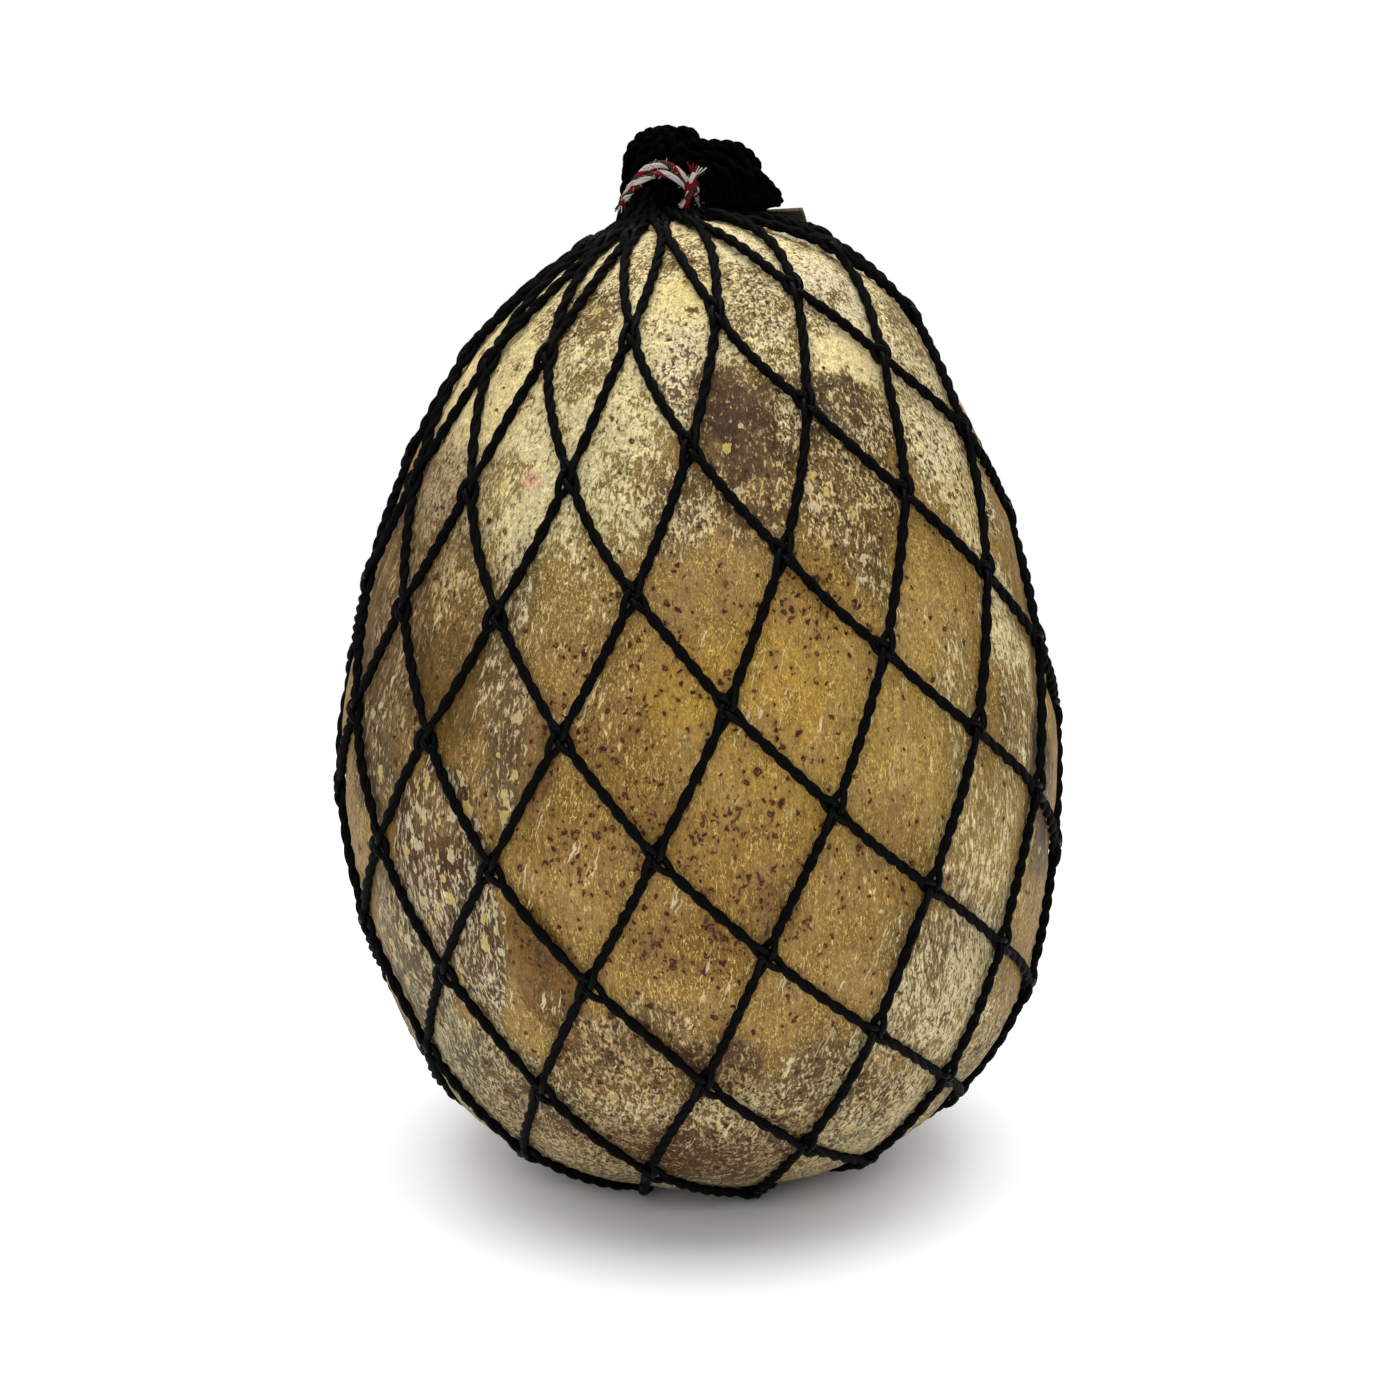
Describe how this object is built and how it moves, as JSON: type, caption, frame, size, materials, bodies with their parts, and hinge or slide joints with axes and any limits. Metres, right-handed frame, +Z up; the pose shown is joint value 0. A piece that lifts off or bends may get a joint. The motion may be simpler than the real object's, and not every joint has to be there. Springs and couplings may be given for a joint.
{
  "type": "caciocavallo cheese",
  "caption": "Aged egg-shaped stretched-curd cheese that stands in a black cord net, gathered over its top into a folded tuft with striped twine and a small bare card tag.",
  "frame": {"origin": "on the floor under the middle of the part's box, at the middle of the cheese's flat foot", "axes": "+Z up along the cheese's height, -Y towards the front that the picture shows, +X to the right"},
  "size_m": [0.1561, 0.156, 0.2197],
  "materials": {
    "rind": "dry waxy aged rind, ochre with cream and grey-brown bloom, satin",
    "net_cord": "black twisted cord, matte",
    "twine": "twisted twine of off-white, red and dark green threads, matte",
    "tag_card": "dark brown card, matte, bare"
  },
  "bodies": {
    "root": {"cheese": "rind", "net": "net_cord", "net_tuft": "net_cord", "tie_twine": "twine", "tag": "tag_card"}
  },
  "joints": []
}
